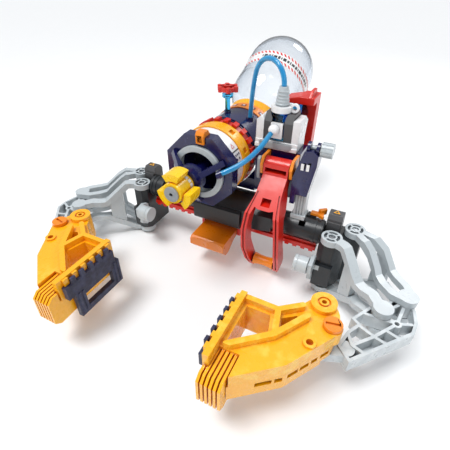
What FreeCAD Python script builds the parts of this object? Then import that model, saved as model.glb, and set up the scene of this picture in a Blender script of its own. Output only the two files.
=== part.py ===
import FreeCAD, Part
import math
import os
from FreeCAD import Vector as V

# Hydraulic arm kit: a two-handed water launcher beam with a parallelogram gripper arm at
# each end. Millimetres. Origin on the beam's axis, midway between the arms. +X to the
# right arm, -Y towards the fingers, +Z up.

# Beam and hand grip
BEAM_R = 11.2
BEAM_HALF = 95.0
BEAM_WALL = 2.2
FIT = 0.05
GAP = 0.4
GRIP_LEFT, GRIP_RIGHT = -38.0, 48.0

# Arm: four pivots of a parallelogram, seen from above, right side
SHOULDER_F = (105.0, -10.5)
SHOULDER_R = (121.5, 10.5)
LINK = (53.5, -45.0)
ELBOW_F = (SHOULDER_F[0] + LINK[0], SHOULDER_F[1] + LINK[1])
ELBOW_R = (SHOULDER_R[0] + LINK[0], SHOULDER_R[1] + LINK[1])
LINK_LEN = math.hypot(*LINK)
LINK_W, REAR_W = 9.0, 6.6
BOSS_R = 9.2
PIN_R = 3.0
DECK = 6.0
DECK_TOP = 6.0
DECK_LOW = -56.0
ELBOW_TOP = -12.0
ELBOW_LOW = -36.4

# Forearm truss
TRUSS_TOP, TRUSS_BOTTOM = -18.4, -29.8
RIB = 2.4

# Finger
FINGER_TOP, FINGER_SPLIT, FINGER_BOTTOM = 3.0, -8.0, -23.0
FINGER_REAR_BOTTOM = -19.0
RAIL_TOP = 10.0
SHELL = 2.0
PIVOT_BOSS = (117.6, -88.5)
BOSS_TOP, BOSS_BORE = 6.5, 1.8
LOCK_PIN = (127.6, -104.4)
SMALL_BOSS = (117.3, -124.2)
RAIL_X = 61.8
FINS = 6

# Barrel and tank
BARREL_X, BARREL_Z = -17.5, 50.0
BARREL_R = 32.0
SLEEVE_R = 26.9
TANK_TILT = 27.4
TANK_PIVOT = (-17.5, 78.0, 47.0)
TANK_R = 40.6
TANK_WALL = 1.6

# Pump and lever
PUMP_X, PUMP_Y = 36.5, 22.0
LEVER_X = 45.8
LEVER_HINGE = (0.0, 57.0)
HOSE_R = 2.25

X, Y, Z = V(1, 0, 0), V(0, 1, 0), V(0, 0, 1)


def box(x, y, z):
    return Part.makeBox(x[1] - x[0], y[1] - y[0], z[1] - z[0], V(x[0], y[0], z[0]))


def rod(start, axis, length, radius, bore=0.0):
    solid = Part.makeCylinder(radius, length, V(*start), axis)
    if bore:
        solid = solid.cut(Part.makeCylinder(bore, length, V(*start), axis))
    return solid


def extrude(points, direction):
    wire = Part.makePolygon(points + [points[0]])
    return Part.Face(wire).extrude(direction)


def prism(points, z0, z1):
    """Outline seen from above, between two heights."""
    return extrude([V(x, y, z0) for x, y in points], V(0, 0, z1 - z0))


def side_prism(points, x0, x1):
    """Outline in Y and Z, between two X planes."""
    return extrude([V(x0, y, z) for y, z in points], V(x1 - x0, 0, 0))


def front_prism(points, y0, y1):
    """Outline in X and Z, between two Y planes."""
    return extrude([V(x, y0, z) for x, z in points], V(0, y1 - y0, 0))


def fuse(solids):
    return solids[0].multiFuse(solids[1:]).removeSplitter() if len(solids) > 1 else solids[0]


def cut(solid, tools):
    for tool in tools:
        solid = solid.cut(tool)
    return solid


def ribbon(path, width, z0, z1):
    """A bar of constant width along a path seen from above, with round corners and ends."""
    pieces = []
    for (xa, ya), (xb, yb) in zip(path, path[1:]):
        length = math.hypot(xb - xa, yb - ya)
        nx, ny = -(yb - ya) / length * width / 2, (xb - xa) / length * width / 2
        corners = [(xa + nx, ya + ny), (xa - nx, ya - ny), (xb - nx, yb - ny), (xb + nx, yb + ny)]
        pieces.append(prism(corners, z0, z1))
    pieces += [rod((x, y, z0), Z, z1 - z0, width / 2) for x, y in path]
    return fuse(pieces)


def side_ribbon(path, width, x0, x1):
    """The same in Y and Z, between two X planes."""
    flat = ribbon(path, width, x0, x1)
    turn = FreeCAD.Matrix(0, 0, 1, 0, 1, 0, 0, 0, 0, 1, 0, 0, 0, 0, 0, 1)
    flat.Placement = FreeCAD.Placement(turn)
    return flat


def front_ribbon(path, width, y0, y1):
    """The same in X and Z, between two Y planes."""
    flat = ribbon([(z, x) for x, z in path], width, y0, y1)
    turn = FreeCAD.Matrix(0, 1, 0, 0, 0, 0, 1, 0, 1, 0, 0, 0, 0, 0, 0, 1)
    flat.Placement = FreeCAD.Placement(turn)
    return flat


def ring(y0, y1, outer, inner):
    """A ring on the barrel's axis."""
    return rod((BARREL_X, y0, BARREL_Z), Y, y1 - y0, outer, inner)


def around(solid, centre, axis, degrees):
    turned = solid.copy()
    turned.rotate(V(*centre), axis, degrees)
    return turned


def barrel_turn(solid, degrees):
    """Turn about the barrel's axis, from +X towards +Z."""
    return around(solid, (BARREL_X, 0, BARREL_Z), Y, -degrees)


def tank_turn(solid):
    """Tip a solid made along Y through the tank's pivot up to the tank's own axis."""
    return around(solid, TANK_PIVOT, X, TANK_TILT)


def hollow(outline, windows, z0, z1, floor, open_top):
    """A shell of even wall: outline and windows seen from above, closed on one face."""
    face = Part.Face(Part.makePolygon([V(x, y, z0) for x, y in outline + outline[:1]]))
    for window in windows:
        face = face.cut(Part.Face(Part.makePolygon([V(x, y, z0) for x, y in window + window[:1]])))
    face = face.Faces[0]
    inner = face.makeOffset2D(-SHELL)
    low = floor if open_top else 0.0
    cavity = inner.extrude(V(0, 0, z1 - z0 - floor))
    cavity.translate(V(0, 0, low))
    return face.extrude(V(0, 0, z1 - z0)).cut(cavity)


# ---------------------------------------------------------------- beam and grip

def beam_tube():
    tube = rod((-BEAM_HALF, 0, 0), X, 2 * BEAM_HALF, BEAM_R, BEAM_R - BEAM_WALL)
    for side in (-1, 1):
        for x in (88.0, 92.5):
            start = side * x - 1.0
            tube = tube.fuse(rod((start, 0, 0), X, 2.0, BEAM_R + 0.7, BEAM_R - 1.0))
        pocket = box((side * 76 - 3, side * 76 + 3), (-9.0, -4.0), (5.0, 12.0))
        tube = tube.cut(pocket)
    seat = box((77.2, 86.0), (3.0, 10.0), (0.0, 12.2)).cut(rod((70.0, 0, 0), X, 20.0, BEAM_R - 1.0))
    return tube.fuse(seat).removeSplitter()


GRIP_OUTLINE = [(-13.0, 7.5), (-5.0, 13.5), (6.0, 17.0), (16.0, 14.0), (23.0, 5.0),
                (23.5, -6.0), (15.0, -13.0), (-6.0, -14.0), (-13.0, -10.0)]


def grip_section(x, scale):
    points = [V(x, y * scale, z * scale) for y, z in GRIP_OUTLINE]
    return Part.makePolygon(points + [points[0]])


def handle_shell():
    stations = [(GRIP_LEFT, 0.88), (GRIP_LEFT + 12, 1.0), (GRIP_RIGHT - 14, 1.0), (GRIP_RIGHT, 0.86)]
    shell = Part.makeLoft([grip_section(x, s) for x, s in stations], True, True)
    panel = side_prism([(-16.5, 4.5), (-14.0, 6.5), (-9.0, 6.5), (-9.0, -14.0), (-15.0, -14.0),
                        (-16.5, -12.0)], GRIP_LEFT + 3, 17.0)
    shell = fuse([shell, panel])
    under_barrel = rod((BARREL_X, -8.0, BARREL_Z), Y, 16.0, 33.45)
    return cut(shell, [rod((GRIP_LEFT - 1, 0, 0), X, 100.0, BEAM_R + FIT), under_barrel])


def beam_rail():
    rail = box((-92.0, 92.0), (-6.5, 1.5), (-19.0, -15.0))
    web = box((-92.0, 92.0), (-4.5, -0.5), (-15.0, -11.6))
    teeth = [box((x, x + 4.0), (-6.5, 1.5), (-21.0, -19.0)) for x in range(-90, -44, 8)]
    teeth += [box((-x - 4.0, -x), (-6.5, 1.5), (-21.0, -19.0)) for x in range(-90, -64, 8)]
    rail = fuse([rail, web] + teeth)
    rail = rail.cut(rod((-100, 0, 0), X, 200.0, BEAM_R + 0.75)).cut(handle_shell())
    return fuse([rail] + trigger_hinge())


# ---------------------------------------------------------------- trigger

TRIGGER_HINGE = (-2.0, -26.0)
TRIGGER_X = (-28.0, 10.0)


def trigger():
    x0, x1 = TRIGGER_X
    body = side_prism([(-1.0, -22.8), (-34.0, -22.8), (-37.5, -25.5), (-37.5, -32.0), (-31.0, -39.0),
                       (-25.0, -39.0), (-12.0, -31.0), (-1.0, -29.5)], x0, x1)
    groove_r = 26.0
    for centre in (x0 + 10.0, x1 - 10.0):
        finger = rod((centre, -32.0 - groove_r - 3.5, -60.0), Z, 60.0, groove_r)
        body = body.cut(finger)
    barrel = rod((x0, TRIGGER_HINGE[0], TRIGGER_HINGE[1]), X, x1 - x0, 4.5)
    body = fuse([body, barrel])
    return body.cut(rod((x0 - 1, TRIGGER_HINGE[0], TRIGGER_HINGE[1]), X, 60.0, 1.6))


def trigger_hinge():
    """The pin and two ears under the rail that the trigger hangs on."""
    x0, x1 = TRIGGER_X
    pin = rod((x0 - 4.0, TRIGGER_HINGE[0], TRIGGER_HINGE[1]), X, x1 - x0 + 8.0, 1.5)
    return [pin] + [box((x - 3.0, x), (-6.0, 1.5), (-30.0, -18.5)) for x in (x0 - 0.5, x1 + 3.5)]


# ---------------------------------------------------------------- end block, right side

def end_block():
    outline = [(95.4, -14.5), (101.0, -18.5), (110.0, -18.5), (117.0, -8.5), (118.4, -2.0), (129.0, 7.5),
               (130.0, 15.0), (122.0, 19.5), (95.4, 19.5)]
    core = prism(outline, DECK_LOW + DECK + GAP, DECK_TOP - DECK - GAP)
    scoop = prism([(114.0, -30.0), (135.0, -30.0), (135.0, 0.0), (124.0, -4.0)], -44.0, -8.0)
    foot = prism([(96.0, -22.0), (112.0, -22.0), (112.0, -10.0), (96.0, -10.0)], -46.0, -22.0)
    holes = [rod((x, y, DECK_LOW), Z, 80.0, PIN_R + FIT) for x, y in (SHOULDER_F, SHOULDER_R)]
    socket = rod((90.0, 0, 0), X, 5.5, BEAM_R - BEAM_WALL - 0.1)
    return cut(fuse([core, foot]), [scoop] + holes).fuse(socket).removeSplitter()


def end_cap():
    base = side_prism([(2.0, DECK_TOP - DECK - GAP), (2.0, 14.5), (5.0, 18.5), (14.0, 18.5),
                       (17.5, 14.0), (17.5, DECK_TOP - DECK - GAP)], 96.2, 109.6)
    badge = extrude([V(99.0, 6.5, 18.5), V(106.5, 6.5, 18.5), V(102.7, 13.0, 18.5)], V(0, 0, 0.8))
    step = box((96.8, 108.6), (1.0, 2.0), (3.0, 12.0))
    return fuse([base, badge, step])


def shoulder_pins():
    pins = []
    for x, y in (SHOULDER_F, SHOULDER_R):
        shaft = rod((x, y, DECK_LOW - 0.4), Z, DECK_TOP - DECK_LOW - 0.6, PIN_R)
        pins.append(fuse([shaft, rod((x, y, DECK_LOW - 2.0), Z, 1.6, PIN_R + 2.0)]))
    return Part.makeCompound(pins)


KNOB = (80.0, -31.0, -17.5)
KNOB_LEN = 12.5
KNOB_R = 8.0


def stop_knob():
    x, y, z = KNOB
    groove = rod((x + 3.0, y, z), X, 1.0, KNOB_R + 1, KNOB_R - 0.4)
    return cut(rod(KNOB, X, KNOB_LEN, KNOB_R), [groove, rod((x + KNOB_LEN - 6.0, y, z), X, 7.0, 2.6)])


def stop_yoke():
    x, y, z = KNOB
    stub = rod((x + KNOB_LEN - 5.0, y, z), X, 9.0, 2.5)
    plate = side_prism([(y - 5.0, z + 5.0), (y + 5.0, z + 7.0), (-19.0, z + 4.0), (-19.0, z - 12.0),
                        (y + 4.0, z - 7.0), (y - 5.0, z - 5.0)], x + KNOB_LEN + 0.4, x + KNOB_LEN + 4.0)
    hook = side_ribbon([(y + 3.0, z - 5.0), (y + 1.0, z - 14.0), (y + 7.0, z - 18.0)], 4.0,
                       x + KNOB_LEN + 0.4, x + KNOB_LEN + 4.0)
    tongue = box((x + KNOB_LEN + 0.4, 101.0), (-22.1, -19.0), (z - 10.0, z - 4.6))
    block = prism([(96.0, -22.0), (112.0, -22.0), (112.0, -10.0), (96.0, -10.0)], -46.0, -22.0)
    return cut(fuse([stub, plate, hook, tongue]), [block, end_block()])


# ---------------------------------------------------------------- links, right side

FRONT_PATH = [(105.0, -10.5), (117.6, -16.5), (126.0, -25.5), (133.0, -34.0), (141.0, -41.0),
              (149.0, -44.5), (153.0, -50.5), ELBOW_F]
REAR_PATH = [(121.5, 12.0), (137.0, 7.0), (151.0, 3.0), (159.0, -6.5), (164.5, -14.5),
             (172.5, -23.0), (176.5, -31.0), ELBOW_R]
REAR_INNER = [(121.5, 9.0), (131.0, -1.5), (140.0, -6.5), (148.0, -16.0), (154.5, -27.5),
              (162.5, -35.5), (170.0, -37.5), ELBOW_R]
UPPER_DECK = [(-12, 6.0), (18, 6.0), (42, -12.0), (84, -12.0), (84, -18.0), (40, -18.0), (15, 0.0),
              (-12, 0.0)]
LOWER_DECK = [(-12, -50.0), (12, -50.0), (40, -30.4), (84, -30.4), (84, -36.4), (42, -36.4),
              (14, -56.0), (-12, -56.0)]
WEB = [(23, -4.0), (38, -14.0), (38, -34.0), (23, -42.0)]


def along_link(start, profile):
    """A side profile (distance along the link, height) made into a wide slab over the link."""
    ux, uy = LINK[0] / LINK_LEN, LINK[1] / LINK_LEN
    half = 40.0
    points = [V(start[0] + s * ux + half * uy, start[1] + s * uy - half * ux, z) for s, z in profile]
    return extrude(points, V(-2 * half * uy, 2 * half * ux, 0))


def link_body(start, elbow, paths, width):
    plan = fuse([ribbon(path, width, DECK_LOW, DECK_TOP) for path in paths])
    decks = [plan.common(along_link(start, profile)) for profile in (UPPER_DECK, LOWER_DECK)]
    web = ribbon(paths[0], width - 1.6, DECK_LOW, DECK_TOP).common(along_link(start, WEB))
    bosses = []
    for (x, y), radius, top, low in ((start, BOSS_R, DECK_TOP, DECK_LOW), (elbow, BOSS_R - 1.4, ELBOW_TOP,
                                                                         ELBOW_LOW)):
        bosses.append(rod((x, y, top - DECK), Z, DECK, radius))
        bosses.append(rod((x, y, low), Z, DECK, radius))
    return fuse(decks + [web] + bosses)


def link_pockets(start):
    """The round recess in each shoulder boss, with four ribs left standing."""
    x, y = start
    recess = rod((x, y, DECK_TOP - 3.0), Z, 5.0, BOSS_R - 2.2)
    recess = recess.cut(rod((x, y, DECK_TOP - 4), Z, 8.0, PIN_R + 1.6))
    ribs = [around(box((x - 9, x + 9), (y - 0.8, y + 0.8), (0, 8)), (x, y, 0), Z, a) for a in (45, 135)]
    return cut(recess, ribs)


def front_link():
    body = link_body(SHOULDER_F, ELBOW_F, [FRONT_PATH], LINK_W)
    holes = [rod((*SHOULDER_F, DECK_LOW - 1), Z, 80.0, PIN_R + 0.06),
             rod((*ELBOW_F, ELBOW_LOW - 1), Z, ELBOW_TOP - ELBOW_LOW - 0.6, PIN_R + 0.06)]
    return cut(body, holes + [link_pockets(SHOULDER_F)])


def rear_link():
    body = link_body(SHOULDER_R, ELBOW_R, [REAR_PATH, REAR_INNER], REAR_W)
    holes = [rod((*SHOULDER_R, DECK_LOW - 1), Z, 80.0, PIN_R + 0.06),
             rod((*ELBOW_R, ELBOW_LOW - 1), Z, ELBOW_TOP - ELBOW_LOW - 0.3, PIN_R + 0.35)]
    return cut(body, holes + [link_pockets(SHOULDER_R)])


# ---------------------------------------------------------------- forearm, right side

TRUSS_OUTLINE = [(144.2, -110.5), (182.9, -65.5), (184.5, -54.4), (182.5, -42.0), (175.0, -27.5),
                 (167.0, -31.0), (159.0, -47.5), (150.0, -52.0), (144.9, -60.6), (138.5, -71.5),
                 (143.6, -75.2), (138.0, -85.0), (134.0, -100.0)]
TRUSS_HUB = (170.4, -61.3)
INNER_LINE = [TRUSS_HUB, (156.6, -81.0), (143.7, -95.5)]


def truss_face(points):
    return Part.Face(Part.makePolygon([V(x, y, TRUSS_BOTTOM) for x, y in points + points[:1]]))


def forearm():
    height = TRUSS_TOP - TRUSS_BOTTOM
    face = truss_face(TRUSS_OUTLINE)
    wall = face.cut(face.makeOffset2D(-RIB)).extrude(V(0, 0, height))
    lines = [INNER_LINE, [TRUSS_HUB, ELBOW_F], [TRUSS_HUB, ELBOW_R], [TRUSS_HUB, (180.5, -57.0)],
             [(143.6, -75.2), (156.6, -81.0)], [(145.5, -62.0), TRUSS_HUB], [ELBOW_F, ELBOW_R],
             [(138.0, -85.0), (143.7, -95.5)], [(156.6, -81.0), (166.5, -84.0)],
             [(163.5, -71.2), (174.5, -74.8)], [(143.7, -95.5), (153.5, -99.0)]]
    ribs = [ribbon(line, RIB, TRUSS_BOTTOM, TRUSS_TOP) for line in lines]
    floor_outline = [(144.2, -110.5), (182.9, -65.5), (170.4, -61.3), (156.6, -81.0), (143.7, -95.5),
                     (134.0, -100.0)]
    floor = truss_face(floor_outline).extrude(V(0, 0, 2.0))
    hubs = [rod((x, y, TRUSS_BOTTOM), Z, height, r) for (x, y), r in
            ((ELBOW_F, 7.4), (ELBOW_R, 7.4), (TRUSS_HUB, 3.6))]
    plan = face.extrude(V(0, 0, height))
    skeleton = fuse([wall, floor] + ribs).common(plan)
    nose = ribbon([(140.0, -99.5), LOCK_PIN], 13.0, TRUSS_BOTTOM + 2.0, FINGER_REAR_BOTTOM - GAP)
    holes = [rod((x, y, TRUSS_BOTTOM - 1), Z, 30.0, r) for (x, y), r in
             ((ELBOW_F, PIN_R - FIT), (ELBOW_R, PIN_R - FIT), (TRUSS_HUB, 1.8), (LOCK_PIN, 3.06))]
    return cut(fuse([skeleton, nose] + hubs), holes)


def elbow_pins():
    pins = []
    for x, y in (ELBOW_F, ELBOW_R):
        shaft = rod((x, y, ELBOW_LOW - 0.4), Z, ELBOW_TOP - ELBOW_LOW - 1.6, PIN_R - FIT)
        pins.append(fuse([shaft, rod((x, y, ELBOW_LOW - 1.9), Z, 1.6, 5.0)]))
    return Part.makeCompound(pins)


# ---------------------------------------------------------------- finger, right side

FINGER_OUTLINE = [(RAIL_X, -108.0), (88.0, -106.5), (104.0, -94.5), (112.0, -81.0), (124.0, -81.5),
                  (130.0, -92.0), (132.5, -101.0), (131.0, -111.0), (124.8, -121.0), (109.0, -145.6),
                  (80.0, -169.5), (80.0, -152.0), (RAIL_X, -152.0)]
WINDOW_RAIL = [(69.0, -114.5), (87.0, -114.5), (91.0, -130.5), (69.0, -149.0)]
WINDOW_MID = [(103.5, -106.5), (94.5, -113.5), (98.0, -126.5), (107.5, -109.5)]


def finger_frames():
    lines = [[(105.0, -99.0), (90.8, -110.5), (65.0, -110.2)], [(90.8, -110.5), (95.4, -130.6)],
             [(110.5, -106.5), (95.4, -130.6), (71.0, -151.5)]]
    return [ribbon(line, 4.2, FINGER_TOP - 1.0, RAIL_TOP - 2.0) for line in lines]


def finger_upper():
    shell = hollow(FINGER_OUTLINE, [WINDOW_RAIL, WINDOW_MID], FINGER_SPLIT, FINGER_TOP, SHELL, False)
    rail = box((RAIL_X, RAIL_X + 4.6), (-166.0, -108.0), (FINGER_SPLIT, RAIL_TOP))
    teeth = [box((RAIL_X - 2.0, RAIL_X), (y, y + 4.5), (3.5, RAIL_TOP - 0.5)) for y in range(-161, -110, 9)]
    boss = rod((*PIVOT_BOSS, FINGER_SPLIT), Z, BOSS_TOP - FINGER_SPLIT, 9.4)
    small = rod((*SMALL_BOSS, FINGER_SPLIT), Z, 12.6, 4.4)
    lock_seat = rod((*LOCK_PIN, FINGER_SPLIT), Z, 11.0, 7.2)
    body = fuse([shell, rail, boss, small, lock_seat] + teeth + finger_frames())
    recess = rod((*PIVOT_BOSS, BOSS_TOP - 1.6), Z, 3.0, 4.8, 3.3)
    holes = [rod((*PIVOT_BOSS, FINGER_SPLIT - 1), Z, 30.0, BOSS_BORE), recess,
             rod((*SMALL_BOSS, -1.0), Z, 9.0, 2.4), rod((*LOCK_PIN, FINGER_SPLIT - 1), Z, 30.0, 3.4)]
    grooves = [box((70.0, 79.5), (y, y + 1.5), (FINGER_TOP - 1.0, FINGER_TOP + 1)) for y in (-156.5, -159.9)]
    tip = box((RAIL_X + 4.7, 81.0), (-180.0, -152.1), (FINGER_SPLIT - 1, 12.0))
    return cut(body, holes + [around(g, (75, -156, 0), Z, 40) for g in grooves] + [tip])


OUTER_WALL = [(80.0, -169.5), (109.0, -145.6), (124.8, -121.0), (131.0, -111.0)]
SLOT_SPANS = [[(0.49, 0.79), (0.84, 0.98)], [(0.11, 0.41), (0.46, 0.72), (0.79, 0.98)], [(0.18, 0.84)]]
SLOT_LOW, SLOT_HIGH = -15.0, -10.8


def outer_wall_slots():
    """A row of slots through the outer wall, each given by its start and end along the wall."""
    slots = []
    for (xa, ya), (xb, yb), spans in zip(OUTER_WALL, OUTER_WALL[1:], SLOT_SPANS):
        length, angle = math.hypot(xb - xa, yb - ya), math.degrees(math.atan2(yb - ya, xb - xa))
        for low, high in spans:
            slot = box((xa + low * length, xa + high * length), (ya - 3.5, ya + 3.5), (SLOT_LOW, SLOT_HIGH))
            slots.append(around(slot, (xa, ya, 0), Z, angle))
    return slots


def finger_lower():
    shell = hollow(FINGER_OUTLINE, [WINDOW_RAIL, WINDOW_MID], FINGER_BOTTOM, FINGER_SPLIT - FIT, SHELL, True)
    rear = prism([(100.0, -75.0), (140.0, -75.0), (140.0, -118.0), (118.0, -118.0)], FINGER_BOTTOM - 1,
                 FINGER_REAR_BOTTOM)
    plate = prism([(103.0, -96.5), (112.5, -82.0), (123.5, -82.5), (129.5, -92.5), (131.5, -101.0),
                   (130.2, -110.6), (125.8, -117.5), (118.5, -117.5)], FINGER_REAR_BOTTOM,
                  FINGER_REAR_BOTTOM + SHELL)
    fins = []
    for i in range(FINS):
        x = RAIL_X + 0.9 + 3.0 * i
        fins.append(side_prism([(-150.0, 1.0), (-172.0, 0.0), (-176.5, -4.0), (-177.0, -24.0),
                                (-172.0, -28.0), (-150.0, -27.0)], x, x + 1.9))
    spine = box((RAIL_X + 0.9, 78.6), (-168.0, -151.0), (-24.0, -3.0))
    boss = rod((*PIVOT_BOSS, FINGER_REAR_BOTTOM), Z, FINGER_SPLIT - FIT - FINGER_REAR_BOTTOM, 9.4)
    rail = box((RAIL_X, RAIL_X + 4.6), (-150.0, -108.0), (FINGER_BOTTOM, FINGER_SPLIT - FIT))
    body = fuse([shell.cut(rear), plate, boss, rail, spine] + fins)
    lip = box((RAIL_X - 0.2, 81.0), (-152.05, -145.0), (FINGER_SPLIT - FIT, RAIL_TOP + 1))
    rail_end = box((RAIL_X - 0.2, RAIL_X + 4.8), (-167.0, -150.1), (FINGER_SPLIT - FIT, RAIL_TOP + 1))
    holes = [rod((*PIVOT_BOSS, -30.0), Z, 40.0, BOSS_BORE), rod((*LOCK_PIN, -30.0), Z, 40.0, 3.4)]
    return cut(body, holes + outer_wall_slots() + [lip, rail_end])


def grip_pad():
    """Rubber pad on the finger's inner face: a toothed upper bar and a lower frame."""
    x0, x1 = RAIL_X - 4.6, RAIL_X - FIT
    bar = box((x0, x1), (-163.0, -112.0), (-9.0, 3.2))
    frame = box((x0, x1), (-157.0, -108.0), (-34.0, -9.0))
    frame = frame.cut(box((x0 - 1, x1 + 1), (-148.0, -118.0), (-28.0, -15.0)))
    blocks = [box((x0, x1 - 2.2), (y, y + 4.2), (3.2, 8.6)) for y in range(-156, -113, 9)]
    ribs = [box((x0 - 0.8, x0), (y, y + 2.0), (-32.0, -9.0)) for y in (-155, -151, -115, -111)]
    return fuse([bar, frame] + blocks + ribs)


def lock_pin():
    """Quarter-turn pin that the finger swings on, with a coin slot."""
    x, y = LOCK_PIN
    head = rod((x, y, FINGER_TOP + 0.3), Z, 3.0, 6.6)
    shaft = rod((x, y, TRUSS_BOTTOM + 1.0), Z, FINGER_TOP + 0.4 - TRUSS_BOTTOM - 1.0, 3.0)
    slot = around(box((x - 5.0, x + 5.0), (y - 0.9, y + 0.9), (FINGER_TOP + 1.6, 9.0)), (x, y, 0), Z, 12)
    return fuse([head, shaft]).cut(slot)


def latch():
    """Sliding latch on top of the beam beside the end block."""
    bar = box((80.0, 92.0), (4.0, 9.0), (12.4, 15.0))
    prong_a = prism([(86.0, 4.0), (92.0, 1.0), (93.0, 3.0), (89.0, 7.0)], 12.4, 15.5)
    prong_b = prism([(86.0, 9.0), (92.0, 14.0), (93.5, 12.0), (89.0, 6.0)], 12.4, 18.0)
    return fuse([bar, prong_a, prong_b])


# ---------------------------------------------------------------- lever

LEVER_FRONT = [(-7.5, 60.5), (-8.0, 50.0), (-17.0, 41.0), (-34.5, 23.0), (-36.5, 5.0), (-33.0, -19.0),
               (-24.0, -40.0), (-16.0, -52.5)]
LEVER_BACK = [(-6.0, -48.5), (-10.0, -38.0), (-20.5, -14.0), (-23.5, 5.0), (-22.0, 17.0),
              (-5.0, 32.0), (3.0, 44.0), (6.0, 52.0)]


def lever_legs():
    """Both legs seen from the front: they spread from the neck, then turn in at the feet."""
    legs = []
    for side in (-1, 1):
        path = [(8.0, 46.0), (9.6, 34.0), (13.6, 22.0), (15.8, 4.0), (16.4, -20.0), (15.6, -38.0),
                (13.2, -52.5)]
        legs.append(front_ribbon([(LEVER_X + side * x, z) for x, z in path], 5.2, -60.0, 20.0))
    return legs


def lever():
    side = side_prism(LEVER_FRONT + LEVER_BACK, LEVER_X - 30, LEVER_X + 30)
    neck = front_prism([(-11.6, 62.0), (11.6, 62.0), (11.2, 46.0), (12.2, 29.0), (5.0, 27.0), (-5.0, 27.0),
                        (-12.2, 29.0), (-11.2, 46.0)], -60.0, 20.0)
    neck.translate(V(LEVER_X, 0, 0))
    window = box((LEVER_X - 4.2, LEVER_X + 4.2), (-70.0, 20.0), (29.5, 35.0))
    hinge_y, hinge_z = LEVER_HINGE
    back = side_prism([(-4.0, 52.0), (20.0, 60.0), (20.0, 0.0), (-17.0, 22.0)],
                      LEVER_X - 10.2, LEVER_X + 10.2)
    body = fuse([neck] + lever_legs()).common(side)
    body = cut(body, [window, back.common(side_prism([(-25.0, 46.0), (20.0, 46.0), (20.0, 10.0),
                                                      (-25.0, 10.0)], LEVER_X - 30, LEVER_X + 30))])
    barrel = rod((LEVER_X - 11.6, hinge_y, hinge_z), X, 23.2, 7.0)
    body = fuse([body, barrel])
    slot = box((LEVER_X - 9.8, LEVER_X + 9.8), (-12.0, 0.0), (hinge_z - 4.6, hinge_z - 0.4))
    bore = rod((LEVER_X - 20, hinge_y, hinge_z), X, 40.0, 3.3)
    grooves = []
    for s in (-1, 1):
        path = [(10.0, 38.0), (13.6, 22.0), (15.8, 4.0), (16.4, -20.0), (15.6, -38.0), (14.4, -47.0)]
        line = front_ribbon([(LEVER_X + s * x, z) for x, z in path], 1.4, -60.0, 20.0)
        skin = side_prism([(y - 4.0, z) for y, z in LEVER_FRONT] + [(y + 1.6, z) for y, z in
                          reversed(LEVER_FRONT)], LEVER_X - 30, LEVER_X + 30)
        grooves.append(line.common(skin))
    return cut(body, [slot, bore] + grooves + [roller_axle(FIT)])


ROLLER_YZ = (-14.5, -44.5)


def roller_axle(extra):
    y, z = ROLLER_YZ
    return rod((LEVER_X - 15.6, y, z), X, 31.2, 1.5 + extra)


def lever_roller():
    """Waisted finger roller, turned about its own axle."""
    y, z = ROLLER_YZ
    half = 10.5
    ends = [V(LEVER_X - half, y, z), V(LEVER_X - half, y + 6.4, z), V(LEVER_X + half, y + 6.4, z),
            V(LEVER_X + half, y, z)]
    waist = Part.Arc(ends[1], V(LEVER_X, y + 4.9, z), ends[2]).toShape()
    wire = Part.Wire([Part.makeLine(ends[0], ends[1]), waist, Part.makeLine(ends[2], ends[3]),
                      Part.makeLine(ends[3], ends[0])])
    body = Part.Face(wire).revolve(V(LEVER_X, y, z), X, 360)
    return body.cut(rod((LEVER_X - 20, y, z), X, 40.0, 1.56))


def lever_bracket():
    """Orange hinge rod with its two cheeks, fixed to the saddle."""
    hinge_y, hinge_z = LEVER_HINGE
    pin = rod((LEVER_X - 14.8, hinge_y, hinge_z), X, 29.6, 3.2)
    cheeks = []
    for x in (LEVER_X - 14.8, LEVER_X + 12.0):
        cheeks.append(side_prism([(-6.0, 49.0), (-8.0, 58.0), (-3.0, 65.0), (12.0, 65.0), (12.0, 47.0)],
                                 x, x + 2.8))
    return fuse([pin] + cheeks)


# ---------------------------------------------------------------- saddle, pump

def saddle():
    """Frame behind the lever that ties the grip, barrel, hinge and pump together."""
    post = side_prism([(12.0, 20.0), (12.0, 66.0), (34.0, 66.0), (34.0, 36.0), (22.0, 16.5)], 19.0, 61.0)
    seat = side_prism([(13.0, 17.0), (13.0, 30.0), (34.0, 34.0), (52.0, 34.0), (52.0, 24.0), (20.0, 14.5)],
                      -32.0, 19.0)
    window = box((26.0, 54.0), (10.0, 40.0), (34.0, 52.0))
    spine = box((30.0, 50.0), (34.0, 62.0), (56.0, 66.0))
    frame = fuse([post, seat, spine])
    return cut(frame, [window, ring(-20.0, 60.0, BARREL_R + 3.0, 0.0), handle_shell(),
                       rod((-60, 0, 0), X, 150.0, BEAM_R + FIT)])


def pump_base():
    tray = box((17.5, 57.0), (12.0, 34.0), (66.0, 73.0))
    lip = box((17.5, 57.0), (10.6, 12.0), (66.0, 69.5))
    wings = []
    for points in ([(17.5, 73.0), (24.5, 73.0), (24.5, 91.0), (21.0, 93.5), (17.5, 90.0)],
                   [(50.8, 73.0), (57.0, 73.0), (58.0, 90.0), (56.0, 93.0), (50.8, 93.0)]):
        wings.append(front_prism(points, 12.6, 33.0))
    return fuse([tray, lip] + wings)


def pump_cheeks():
    cheeks = []
    for x0, x1 in ((24.7, 31.4), (43.0, 50.6)):
        cheek = side_prism([(13.6, 73.1), (12.4, 90.0), (17.0, 97.0), (33.0, 97.0), (33.0, 73.1)], x0, x1)
        cheeks.append(cut(cheek, [rod((PUMP_X, PUMP_Y, 60.0), Z, 60.0, 9.3), ball_fitting()]))
    return Part.makeCompound(cheeks)


PUMP_TOP = 99.0


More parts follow.
